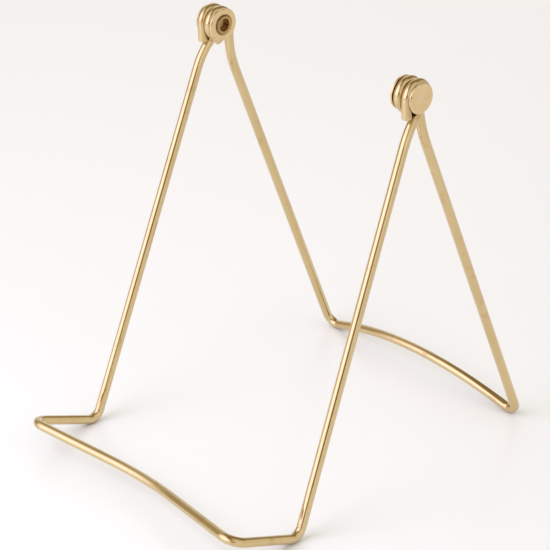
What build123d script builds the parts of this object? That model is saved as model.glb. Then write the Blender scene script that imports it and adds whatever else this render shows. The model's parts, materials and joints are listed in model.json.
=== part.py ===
from build123d import *
import math
import os

# A folding display easel in round brass wire, for a plate or a small picture.
# One bent wire makes the front frame: two legs, two ledge arms and the bowed ledge bar.
# A second, narrower wire makes the back frame: two legs and a bowed foot bar.
# Each wire ends in two eyes. A tubular rivet with a washer joins each pair of eyes, and
# both rivets share one axis, so the back frame swings on it and is held by friction.
#
# Millimetres. X runs along the hinge, Y from the ledge at the front to the back, Z up.
# The origin is on the table, in the middle of the easel's footprint.

# --- driving dimensions ---
wire_diameter = 3.2
hinge_height = 134.5          # hinge axis above the table
front_lean = 21.4             # front legs from the vertical, in degrees
back_lean = 22.95             # back legs from the vertical, in degrees
origin_to_hinge = 11.7        # how far the hinge axis stands behind the origin

front_foot_half_width = 50.7  # wire centre to the middle plane, at the front feet
back_foot_half_width = 46.6
front_eye_half_width = 46.8   # middle plane of a front eye
eye_spacing = 3.4             # from a front eye's plane to the back eye's beside it
eye_inset = 0.65              # how far an eye's plane is set in from the top of its leg

foot_bend_radius = 4.0        # all bend radii are those of the wire's centre line
ledge_arm_length = 30.0       # from the foot corner to the ledge bar's corner
ledge_bend_radius = 4.8
ledge_bow = 8.95              # how far the ledge bar's middle corner is set back
ledge_bow_radius = 91.0
foot_bar_bow = 17.8           # how far the foot bar's middle corner is set up
foot_bar_radius = 103.0

eye_radius = 4.3
inset_distance = 2.8          # from the inset's small bend to the start of the eye's arc
inset_radius = 18.0
front_leg_crook = 24.0        # the turn from a leg to the tangent of its eye, degrees
front_crook_radius = 26.0
front_eye_end = 183.0         # where the eye's arc ends, degrees from +Y towards +Z
front_tail = 6.0              # the straight end of the wire beyond that arc
back_leg_crook = 20.0
back_crook_radius = 40.0
back_eye_end = 225.0
back_tail = 4.6
wire_end_chamfer = 0.25

shank_radius = 2.65
head_radius = 5.0
head_thickness = 0.8
head_edge = 0.3               # the bevel round the head's outer face
washer_radius = 5.5
washer_hole_radius = 2.7
washer_thickness = 0.85
washer_edge = 0.2
bore_radius = 2.0             # the rivet's hollow end
bore_depth = 1.2              # measured from the washer, not from the rolled lip
side_play = 0.1               # between a back eye and the washer beside it
seat_gap = 0.02               # between a front eye and the rivet's head

wire_radius = wire_diameter / 2
back_eye_half_width = front_eye_half_width - eye_spacing
hinge = Vector(0, origin_to_hinge, hinge_height)


# --- directions in a side view, as angles from +Z towards +Y ---
def side_direction(angle):
    """The unit vector at this angle from +Z towards +Y, in degrees."""
    return Vector(0, math.sin(math.radians(angle)), math.cos(math.radians(angle)))


def across(half_width):
    """A step along X from the middle plane."""
    return Vector(half_width, 0, 0)


up_front_leg = side_direction(front_lean)
up_back_leg = side_direction(-back_lean)
along_ledge_arm = side_direction(front_lean - 90)    # square to the front legs


# --- where the feet stand: each bend's lowest point rests on the table ---
def corner_height(first, second, bend_radius):
    """The height of a foot's sharp corner, whose wire runs on along two unit vectors.

    The bend's centre is on the line that halves the corner, and the lowest point of its
    circle is below that centre by the radius times the bend plane's own steepness.
    """
    halving = (first + second).normalized()
    half_angle = math.radians(first.get_angle(second)) / 2
    centre_rise = bend_radius / math.sin(half_angle) * halving.Z
    normal = first.cross(second).normalized()
    steepness = math.sqrt(1 - normal.Z ** 2)
    return wire_radius - centre_rise + bend_radius * steepness


def foot_corner(half_width, up_leg, second):
    """The sharp corner of a foot, on the leg's line through the hinge axis."""
    height = corner_height(up_leg, second, foot_bend_radius)
    drop = (hinge_height - height) / up_leg.Z
    return hinge + across(half_width) - up_leg * drop


# --- the eye at the top of a leg ---
def crook_corner(half_width, up_leg, crook):
    """Where the leg's line meets the eye's tangent line, seen from the side."""
    return hinge + across(half_width) - up_leg * (eye_radius / math.sin(math.radians(crook)))


def eye_point(plane_x, angle):
    """The point of the eye at this angle from +Y towards +Z, in degrees."""
    turn = math.radians(angle)
    return hinge + Vector(plane_x, eye_radius * math.cos(turn), eye_radius * math.sin(turn))


def eye_and_tail(plane_x, start, end, tail):
    """The eye's arc over the top of the hinge axis, and the wire's straight end."""
    arc = ThreePointArc(
        eye_point(plane_x, start), eye_point(plane_x, (start + end) / 2), eye_point(plane_x, end)
    )
    last = eye_point(plane_x, end)
    return [arc, Line(last, last + side_direction(-end) * tail)]


# --- wires ---
def bent_wire(path_pieces):
    """A round wire along a path, with a small chamfer on both cut ends."""
    path = Wire([edge for piece in path_pieces for edge in piece.edges()])
    section = Plane(path.position_at(0), z_dir=path.tangent_at(0)) * Circle(wire_radius)
    wire = sweep(section, path=path)
    ends = [edge for edge in wire.edges() if is_cut_end(edge, path)]
    return chamfer(ends, wire_end_chamfer)


def is_cut_end(edge, path):
    """Whether this edge is the round rim of one of the wire's two cut ends."""
    if edge.geom_type != GeomType.CIRCLE:
        return False
    tips = [path.position_at(0), path.position_at(1)]
    return any((edge.arc_center - tip).length < wire_end_chamfer for tip in tips)


def frame_path(
    eye_half_width, up_leg, lean, crook, crook_radius, low_corners, low_radii, eye_end, tail
):
    """One frame's whole centre line, from the left eye's tail to the right eye's."""
    eye_start = -(lean + crook)
    run_in = side_direction(lean + crook) * inset_distance
    left = eye_point(-eye_half_width, eye_start)
    right = eye_point(eye_half_width, eye_start)
    leg_top = eye_half_width + eye_inset
    corners = [left, left - run_in, crook_corner(-leg_top, up_leg, crook)]
    corners += low_corners
    corners += [crook_corner(leg_top, up_leg, crook), right - run_in, right]
    radii = [inset_radius, crook_radius] + low_radii + [crook_radius, inset_radius]
    left_end = eye_and_tail(-eye_half_width, eye_start, eye_end, tail)
    right_end = eye_and_tail(eye_half_width, eye_start, eye_end, tail)
    return left_end[::-1] + [FilletPolyline(corners, radius=radii)] + right_end


def front_frame():
    """Both front legs, both ledge arms and the ledge bar, in one wire."""
    left_foot = foot_corner(-front_foot_half_width, up_front_leg, along_ledge_arm)
    right_foot = foot_corner(front_foot_half_width, up_front_leg, along_ledge_arm)
    arm = along_ledge_arm * ledge_arm_length
    bar_middle = (left_foot + right_foot) / 2 + arm - along_ledge_arm * ledge_bow
    low_corners = [left_foot, left_foot + arm, bar_middle, right_foot + arm, right_foot]
    low_radii = [
        foot_bend_radius, ledge_bend_radius, ledge_bow_radius, ledge_bend_radius, foot_bend_radius,
    ]
    return bent_wire(frame_path(
        front_eye_half_width, up_front_leg, front_lean, front_leg_crook, front_crook_radius,
        low_corners, low_radii, front_eye_end, front_tail,
    ))


def back_frame():
    """Both back legs and the bowed bar between their feet, in one wire."""
    inward = (across(-back_foot_half_width) + up_back_leg * foot_bar_bow).normalized()
    left_foot = foot_corner(-back_foot_half_width, up_back_leg, Vector(-inward.X, inward.Y, inward.Z))
    right_foot = foot_corner(back_foot_half_width, up_back_leg, inward)
    bar_middle = (left_foot + right_foot) / 2 + up_back_leg * foot_bar_bow
    return bent_wire(frame_path(
        back_eye_half_width, up_back_leg, -back_lean, back_leg_crook, back_crook_radius,
        [left_foot, bar_middle, right_foot], [foot_bend_radius, foot_bar_radius, foot_bend_radius],
        back_eye_end, back_tail,
    ))


# --- fasteners, drawn for the right-hand hinge: head on the outside, washer on the inside ---
def turned(profile_edges):
    """A solid of revolution about the hinge axis from a closed profile."""
    face = make_face(profile_edges)
    solid = revolve(face, axis=Axis(hinge, (1, 0, 0)), revolution_arc=360)
    return solid


def radial(x, radius):
    """A point of a profile: a place along the hinge axis and a distance from it."""
    return hinge + Vector(x, radius, 0)


head_seat = front_eye_half_width + wire_radius + seat_gap
washer_outer_face = back_eye_half_width - wire_radius - side_play
washer_inner_face = washer_outer_face - washer_thickness


def rivet():
    """A tubular rivet: a flat head, the shank, and the hollow end rolled over the washer."""
    head_top = head_seat + head_thickness
    lip_radius = shank_radius - bore_radius
    lip_middle = washer_inner_face - lip_radius
    bore_end = lip_middle + lip_radius + bore_depth
    outline = Polyline(
        radial(washer_inner_face, shank_radius + lip_radius),
        radial(washer_inner_face, shank_radius),
        radial(head_seat, shank_radius),
        radial(head_seat, head_radius),
        radial(head_top - head_edge, head_radius),
        radial(head_top, head_radius - head_edge),
        radial(head_top, 0),
        radial(bore_end, 0),
        radial(bore_end, bore_radius),
        radial(washer_inner_face, bore_radius),
    )
    lip = ThreePointArc(
        radial(washer_inner_face, bore_radius),
        radial(lip_middle, shank_radius),
        radial(washer_inner_face, shank_radius + lip_radius),
    )
    return turned([outline, lip])


def washer():
    """The washer between the back eye and the rivet's rolled end."""
    outline = Polyline(
        radial(washer_outer_face, washer_hole_radius),
        radial(washer_outer_face, washer_radius),
        radial(washer_inner_face + washer_edge, washer_radius),
        radial(washer_inner_face, washer_radius - washer_edge),
        radial(washer_inner_face, washer_hole_radius),
        close=True,
    )
    return turned([outline])


def mirrored(solid):
    """The left-hand copy of a right-hand piece."""
    return mirror(solid, about=Plane.YZ)


right_rivet = rivet()
right_washer = washer()
pieces = {
    "front_frame": front_frame(),
    "back_frame": back_frame(),
    "right_rivet": right_rivet,
    "left_rivet": mirrored(right_rivet),
    "right_washer": right_washer,
    "left_washer": mirrored(right_washer),
}

os.makedirs("parts", exist_ok=True)
for name, solid in pieces.items():
    export_step(solid, f"parts/{name}.step")
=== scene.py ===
"""A folding display easel in polished brass wire, on a pale studio floor.

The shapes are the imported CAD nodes. This script gives them their materials, light and camera.
Metres, in the CAD frame: X along the hinge, Y from the ledge to the back, Z up.
Azimuth 0 is in front of the easel (-Y) and 90 is at +X. Elevation is above the horizon.
"""

import json
import math

import bpy
from mathutils import Matrix, Vector


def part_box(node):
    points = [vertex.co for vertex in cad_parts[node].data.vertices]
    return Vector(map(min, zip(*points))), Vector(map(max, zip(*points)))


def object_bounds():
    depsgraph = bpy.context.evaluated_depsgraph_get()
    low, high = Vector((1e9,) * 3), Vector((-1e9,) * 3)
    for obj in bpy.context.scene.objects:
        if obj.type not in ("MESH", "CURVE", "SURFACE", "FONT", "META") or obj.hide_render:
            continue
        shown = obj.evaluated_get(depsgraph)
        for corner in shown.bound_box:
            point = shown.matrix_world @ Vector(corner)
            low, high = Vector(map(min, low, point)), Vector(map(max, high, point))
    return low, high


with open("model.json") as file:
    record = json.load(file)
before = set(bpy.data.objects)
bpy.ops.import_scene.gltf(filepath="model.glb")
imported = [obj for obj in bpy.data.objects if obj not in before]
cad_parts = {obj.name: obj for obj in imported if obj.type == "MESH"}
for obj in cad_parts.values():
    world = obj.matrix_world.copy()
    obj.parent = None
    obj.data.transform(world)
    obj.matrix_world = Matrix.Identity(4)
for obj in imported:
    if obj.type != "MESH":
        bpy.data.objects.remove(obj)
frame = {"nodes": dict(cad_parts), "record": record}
cad_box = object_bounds()
scene = bpy.context.scene
object_centre = (cad_box[0] + cad_box[1]) / 2
MM = 0.001

# --- the right-hand hinge, as the materials need it ---
hinge = Vector(frame["record"]["behaviour"]["joints"][0]["pos_m"])
rivet_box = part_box("right_rivet")
washer_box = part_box("right_washer")
lip_height = washer_box[0].x - rivet_box[0].x
lip_radius = 3.3 * MM         # where the rivet's rolled lip meets the washer
bore_radius = lip_radius - 2 * lip_height
past_bore = washer_box[1].x + 0.7 * MM
rim_radius = 4.65 * MM        # the head's flat face ends about here, in a bevel
eye_radius = 6.0 * MM         # the wires' eyes are about this large outside
head_thickness = 0.8 * MM
head_plane = rivet_box[1].x - head_thickness
eyes_plane = (washer_box[1].x + head_plane) / 2
seam_planes = [head_plane, eyes_plane]


def outward(azimuth, elevation):
    """The unit vector from the object to a place round it, in degrees."""
    a = math.radians(azimuth)
    e = math.radians(elevation)
    return Vector((math.sin(a) * math.cos(e), -math.cos(a) * math.cos(e), math.sin(e)))


class NodeMaker:
    """A node tree, with short calls that add and link its nodes."""

    def __init__(self, tree):
        self.tree = tree

    def feed(self, socket, value):
        """Sets an input to a plain value, or links the output that feeds it."""
        if isinstance(value, bpy.types.NodeSocket):
            self.tree.links.new(value, socket)
        else:
            socket.default_value = value

    def add(self, kind, inputs=None, **settings):
        """A new node, with its settings and its inputs by name or number."""
        node = self.tree.nodes.new(kind)
        for key, value in settings.items():
            setattr(node, key, value)
        for key, value in (inputs or {}).items():
            self.feed(node.inputs[key], value)
        return node

    def math(self, operation, first, second=0.0):
        """One sum on one or two numbers."""
        return self.add("ShaderNodeMath", {0: first, 1: second}, operation=operation).outputs["Value"]

    def dot(self, first, second):
        """The dot product of two vectors, as a number."""
        node = self.add("ShaderNodeVectorMath", {0: first, 1: second}, operation="DOT_PRODUCT")
        return node.outputs["Value"]

    def ramp(self, value, low, high, to_low=0.0, to_high=1.0):
        """The value's stretch from low to high, turned smoothly into to_low to to_high."""
        node = self.add("ShaderNodeMapRange", {
            "Value": value, "From Min": low, "From Max": high, "To Min": to_low, "To Max": to_high,
        }, interpolation_type="SMOOTHSTEP")
        return node.outputs["Result"]

    def mix(self, share, first, second):
        """The colour that is this share of the way from the first colour to the second."""
        node = self.add("ShaderNodeMix", {0: share}, data_type="RGBA")
        self.feed(node.inputs[6], first)
        self.feed(node.inputs[7], second)
        return node.outputs[2]

    def blend(self, share, first, second):
        """The number that is this share of the way from the first number to the second."""
        node = self.add("ShaderNodeMix", {0: share, 2: first, 3: second}, data_type="FLOAT")
        return node.outputs[0]

    def near(self, value, target, inner, outer):
        """1 where the value is within inner of the target, and 0 beyond outer."""
        gap = self.math("ABSOLUTE", self.math("SUBTRACT", value, target))
        return self.ramp(gap, inner, outer, 1.0, 0.0)

    def product(self, *factors):
        """All the numbers multiplied together."""
        total = factors[0]
        for factor in factors[1:]:
            total = self.math("MULTIPLY", total, factor)
        return total

    def largest(self, *values):
        """The largest of the numbers."""
        top = values[0]
        for value in values[1:]:
            top = self.math("MAXIMUM", top, value)
        return top


class Surface(NodeMaker):
    """A material with its Principled shader, placed by the object's own coordinates."""

    def __init__(self, name):
        self.material = bpy.data.materials.new(name)
        self.material.use_nodes = True
        super().__init__(self.material.node_tree)
        self.shader = self.tree.nodes["Principled BSDF"]
        coordinates = self.add("ShaderNodeTexCoord")
        self.place = coordinates.outputs["Object"]
        self.normal = coordinates.outputs["Normal"]

    def set(self, **values):
        """Feeds the shader's inputs, named with underscores for spaces."""
        for key, value in values.items():
            self.feed(self.shader.inputs[key.replace("_", " ")], value)

    def noise(self, size, detail=2.0, vector=None):
        """Noise from 0 to 1, with features about this large."""
        inputs = {"Vector": vector or self.place, "Scale": 1 / size, "Detail": detail}
        return self.add("ShaderNodeTexNoise", inputs).outputs[0]

    def streaks(self, along, length, width, detail=1.0):
        """Noise drawn out into lines along a direction."""
        along = Vector(along).normalized()
        across = along.orthogonal().normalized()
        stretched = self.add("ShaderNodeCombineXYZ", {
            0: self.dot(self.place, along / length),
            1: self.dot(self.place, across / width),
            2: self.dot(self.place, along.cross(across) / width),
        }).outputs[0]
        return self.noise(1.0, detail, stretched)

    def scratches(self, length, width, least):
        """Sparse fine lines in three directions: 1 on a scratch and 0 between them."""
        directions = [(0.55, 0.35, 0.76), (-0.42, 0.81, 0.41), (0.83, -0.30, 0.47)]
        lines = [self.ramp(self.streaks(way, length, width), least, least + 0.06) for way in directions]
        return self.largest(*lines)

    def relief(self, height, depth, under=None):
        """A normal for heights of 0 to 1 that stand for this many metres, on top of another relief."""
        inputs = {"Height": height, "Distance": depth}
        if under is not None:
            inputs["Normal"] = under
        return self.add("ShaderNodeBump", inputs).outputs["Normal"]

    def from_hinge(self, direction):
        """How far a point is from the hinge axis along a direction, in metres."""
        start = -hinge.dot(Vector(direction))
        return self.math("ADD", self.dot(self.place, direction), start)

    def hinge_radius(self):
        """How far a point is from the hinge axis."""
        y = self.from_hinge((0, 1, 0))
        z = self.from_hinge((0, 0, 1))
        squares = self.math("ADD", self.product(y, y), self.product(z, z))
        return self.math("SQRT", squares)

    def half_width(self):
        """How far a point is from the middle plane."""
        return self.math("ABSOLUTE", self.dot(self.place, (1, 0, 0)))

    def seam_shade(self):
        """1 in the narrow gaps between the two eyes and between the outer eye and the rivet's head,
        where shade is painted.
        """
        side = self.half_width()
        gaps = [self.near(side, at, 0.05 * MM, 0.55 * MM) for at in seam_planes]
        close = self.ramp(self.hinge_radius(), eye_radius, eye_radius + 1.5 * MM, 1.0, 0.0)
        return self.product(self.largest(*gaps), close)


# --- materials ---
BRASS_PALE = (0.653, 0.500, 0.260, 1)
BRASS_DEEP = (0.618, 0.461, 0.225, 1)
PRESSED_PALE = (0.760, 0.575, 0.330, 1)
PRESSED_DEEP = (0.705, 0.525, 0.270, 1)
# Tarnish, and also the colour of the painted shade in the hinge's gaps and hollow end.
TARNISH_AND_SHADE = (0.40, 0.235, 0.07, 1)
# Painted shade, darker still, for the groove round the lip and the bore.
PAINTED_SHADE = (0.16, 0.085, 0.025, 1)
LACQUERED = {"Metallic": 1.0, "Coat_Weight": 0.5, "Coat_Roughness": 0.05}


def lean(angle):
    """The unit vector in a side view at this angle from +Z towards +Y, in degrees."""
    return Vector((0, math.sin(math.radians(angle)), math.cos(math.radians(angle))))


def drawn_brass(name, node, leg, arm, tail):
    """Polished wire: drawing lines along it, hairline scratches, duller cut ends, tarnish, and painted
    shade in the narrow gaps at the hinge.

    The directions are those of a leg, of what its foot bend turns into, and of the wire's end.
    """
    corner = 5.5 * MM           # from the frame's side to where its crossbar runs straight
    tail_end_radius = 7.0 * MM  # the cut ends are about this far from the hinge axis
    made = Surface(name)
    bar_half_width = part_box(node)[1].x - corner
    on_bar = made.ramp(made.half_width(), bar_half_width - MM, bar_half_width, 1.0, 0.0)
    on_arm = made.ramp(made.from_hinge(arm), 3 * MM, 5 * MM)
    drawn = [made.streaks(way, 14 * MM, 0.07 * MM) for way in (leg, arm, (1, 0, 0))]
    lines = made.blend(on_bar, made.blend(on_arm, drawn[0], drawn[1]), drawn[2])
    scratch = made.scratches(5 * MM, 0.09 * MM, 0.68)
    patch = made.ramp(made.noise(4 * MM, 4.0), 0.59, 0.70)
    end_zone = made.near(made.hinge_radius(), tail_end_radius, 1.5 * MM, 2.0 * MM)
    cut_end = made.product(end_zone, made.ramp(made.dot(made.normal, tail), 0.90, 0.97))
    cloud = made.noise(17 * MM, 3.0)

    colour = made.mix(made.ramp(cloud, 0.3, 0.7), BRASS_DEEP, BRASS_PALE)
    # Tarnish in patches and on the cut ends, and painted shade in the narrow gaps at the hinge.
    stain_and_shade = made.largest(
        made.product(patch, 0.26), made.product(made.seam_shade(), 0.45), made.product(cut_end, 0.30),
    )
    made.set(Base_Color=made.mix(stain_and_shade, colour, TARNISH_AND_SHADE), **LACQUERED)

    smooth = made.ramp(made.noise(2.5 * MM, 3.0), 0.3, 0.7, 0.045, 0.085)
    worn = made.math("ADD", smooth, made.product(made.largest(scratch, patch), 0.10))
    drawn_too = made.math("ADD", worn, made.ramp(lines, 0.52, 0.72, 0.0, 0.07))
    made.set(Roughness=made.blend(cut_end, drawn_too, 0.30))

    waves = made.relief(made.noise(5 * MM, 0.0), 0.035 * MM)
    grooves = made.relief(lines, 0.0010 * MM, waves)
    made.set(Normal=made.relief(scratch, -0.0016 * MM, grooves))
    return made.material


def pressed_brass(name):
    """Satin rivets and washers: rings round the axis, polished rims, a darker rolled lip, and painted
    shade in the hollow end, round the lip and in the narrow gaps at the hinge.
    """
    made = Surface(name)
    radius = made.hinge_radius()
    side = made.half_width()
    inner_end = made.ramp(side, past_bore, past_bore + 0.3 * MM, 1.0, 0.0)
    lip = made.product(inner_end, made.ramp(radius, lip_radius, lip_radius + 0.1 * MM, 1.0, 0.0))
    groove = made.product(inner_end, made.near(radius, lip_radius, 0.2 * MM, 0.4 * MM))
    bore = made.product(inner_end, made.ramp(radius, bore_radius, bore_radius + 0.1 * MM, 1.0, 0.0))
    ring_place = made.add("ShaderNodeCombineXYZ", {0: radius}).outputs[0]
    rings = made.noise(0.12 * MM, 3.0, ring_place)
    scratch = made.scratches(3 * MM, 0.07 * MM, 0.69)
    cloud = made.noise(3.5 * MM, 4.0)

    colour = made.mix(made.ramp(cloud, 0.3, 0.7), PRESSED_DEEP, PRESSED_PALE)
    # Darker on the rolled lip; painted shade in the groove round it, in the narrow gaps and, nearly
    # full, in the bore.
    stain_and_shade = made.largest(made.product(lip, 0.9), groove, made.product(made.seam_shade(), 0.4))
    stained_and_shaded = made.mix(made.blend(bore, stain_and_shade, 0.9), colour, TARNISH_AND_SHADE)
    # Painted shade, darker still, over the groove and the bore.
    painted_shade_share = made.largest(made.product(groove, 0.6), made.product(bore, 0.4))
    made.set(Base_Color=made.mix(painted_shade_share, stained_and_shaded, PAINTED_SHADE), **LACQUERED)

    rim = made.ramp(radius, rim_radius, rim_radius + 0.2 * MM)
    satin = made.ramp(cloud, 0.3, 0.7, 0.20, 0.28)
    ringed = made.math("ADD", satin, made.ramp(rings, 0.4, 0.7, 0.0, 0.04))
    marked = made.math("ADD", ringed, made.product(scratch, 0.06))
    made.set(Roughness=made.blend(made.largest(rim, bore), marked, 0.12))

    pressed = made.relief(rings, 0.0009 * MM, made.relief(cloud, 0.012 * MM))
    made.set(Normal=made.relief(scratch, -0.0012 * MM, pressed))
    return made.material


FRONT_LEAN = 21.4     # the legs' angles from the vertical
BACK_LEAN = -22.95
FRONT_TAIL = -183.0   # the angles of the wires' ends, which hang from the eyes
BACK_TAIL = -225.0
front_wire = drawn_brass(
    "front_wire_brass", "front_frame", lean(FRONT_LEAN), lean(FRONT_LEAN - 90), lean(FRONT_TAIL),
)
back_wire = drawn_brass(
    "back_wire_brass", "back_frame", lean(BACK_LEAN), lean(BACK_LEAN + 90), lean(BACK_TAIL),
)
pressed = pressed_brass("pressed_brass")
for name, node in frame["nodes"].items():
    material = {"front_frame": front_wire, "back_frame": back_wire}.get(name, pressed)
    for slot in node.material_slots:
        slot.material = material


# --- studio ---
def studio_floor():
    """A wide sheet of pale paper under the object."""
    half = 4.0
    corners = [(-half, -half, 0), (half, -half, 0), (half, half, 0), (-half, half, 0)]
    mesh = bpy.data.meshes.new("studio_floor")
    mesh.from_pydata(corners, [], [(0, 1, 2, 3)])
    made = bpy.data.objects.new("studio_floor", mesh)
    scene.collection.objects.link(made)
    made.location.z = cad_box[0].z
    paper = Surface("pale_floor")
    paper.set(Base_Color=(0.79, 0.80, 0.79, 1), Roughness=0.33, IOR=2.1)
    mesh.materials.append(paper.material)


def studio_walls():
    """The studio round the object, by direction: dark walls, lit cards, and a gap for the camera."""
    horizon = (0.54, 0.47, 0.36, 1)
    ceiling = (0.33, 0.24, 0.12, 1)
    backdrop = (0.9, 0.9, 0.9, 1)
    camera_gap = (43, 0, 3, 15, (0.14, 0.10, 0.05, 1))
    cards = [    # azimuth, elevation, full within this angle, gone beyond this one, radiance
        (-131, 22, 12, 36, (0.84, 0.83, 0.80, 1)),
        (150, 6, 14, 38, (0.92, 0.89, 0.80, 1)),
        (-168, 31, 5, 26, (0.34, 0.27, 0.17, 1)),
        (-85, 42, 6, 22, (0.52, 0.45, 0.28, 1)),
        (95, 62, 8, 30, (0.70, 0.64, 0.52, 1)),
        (90, 20, 22, 56, (0.97, 0.95, 0.93, 1)),
        (76, 2, 8, 21, (1.22, 1.17, 1.18, 1)),
        (-41, 47, 8, 32, (1.12, 1.10, 1.12, 1)),
        (-14, 17, 15, 47, (2.12, 1.96, 2.50, 1)),
        camera_gap,
    ]
    world = bpy.data.worlds.new("studio_walls")
    world.use_nodes = True
    scene.world = world
    made = NodeMaker(world.node_tree)
    direction = made.add("ShaderNodeTexCoord").outputs["Generated"]
    steepness = made.dot(direction, (0, 0, 1))
    colour = made.mix(made.ramp(steepness, 0.30, 0.95), horizon, ceiling)
    for azimuth, elevation, inner, outer, radiance in cards:
        nearness = made.dot(direction, outward(azimuth, elevation))
        full, gone = (math.cos(math.radians(angle)) for angle in (inner, outer))
        colour = made.mix(made.ramp(nearness, gone, full), colour, radiance)
    seen = made.add("ShaderNodeLightPath").outputs["Is Camera Ray"]
    colour = made.mix(seen, colour, backdrop)
    background = world.node_tree.nodes["Background"]
    made.feed(background.inputs["Color"], colour)


def floor_light(name, kind, colour, energy):
    """A light for the floor alone, which doesn't show in the brass."""
    light = bpy.data.lights.new(name, kind)
    light.color = colour
    light.energy = energy
    made = bpy.data.objects.new(name, light)
    scene.collection.objects.link(made)
    made.visible_glossy = False
    return made


def studio_lights():
    """A wide soft light from above, and a cool softbox over the floor in front."""
    overhead = floor_light("overhead_light", "SUN", (1.0, 1.0, 0.98), 1.08)
    overhead.data.angle = math.radians(100)
    front = floor_light("front_softbox", "AREA", (0.88, 0.98, 1.22), 1.0)
    front.data.size = 0.35
    azimuth = -10
    elevation = 38
    distance = 0.52
    front.location = object_centre + outward(azimuth, elevation) * distance
    aim = outward(azimuth, 0) * 0.12
    front.rotation_mode = "QUATERNION"
    front.rotation_quaternion = (aim - front.location).to_track_quat("-Z", "Y")


def studio_camera():
    """Looks at the easel from the right, in front and above."""
    azimuth = 47.02
    elevation = 26.60
    roll = -0.10
    distance = 0.6956
    aim = object_centre + Vector((1.0, -4.4, -7.4)) * MM
    data = bpy.data.cameras.new("studio_camera")
    data.sensor_width = 36.0
    data.lens = 138.77
    made = bpy.data.objects.new("studio_camera", data)
    scene.collection.objects.link(made)
    back = outward(azimuth, elevation)
    made.location = aim + back * distance
    made.rotation_mode = "QUATERNION"
    level = (-back).to_track_quat("-Z", "Y")
    made.rotation_quaternion = level @ Matrix.Rotation(math.radians(roll), 4, "Z").to_quaternion()
    scene.camera = made


studio_floor()
studio_walls()
studio_lights()
studio_camera()
scene.view_settings.view_transform = "Standard"
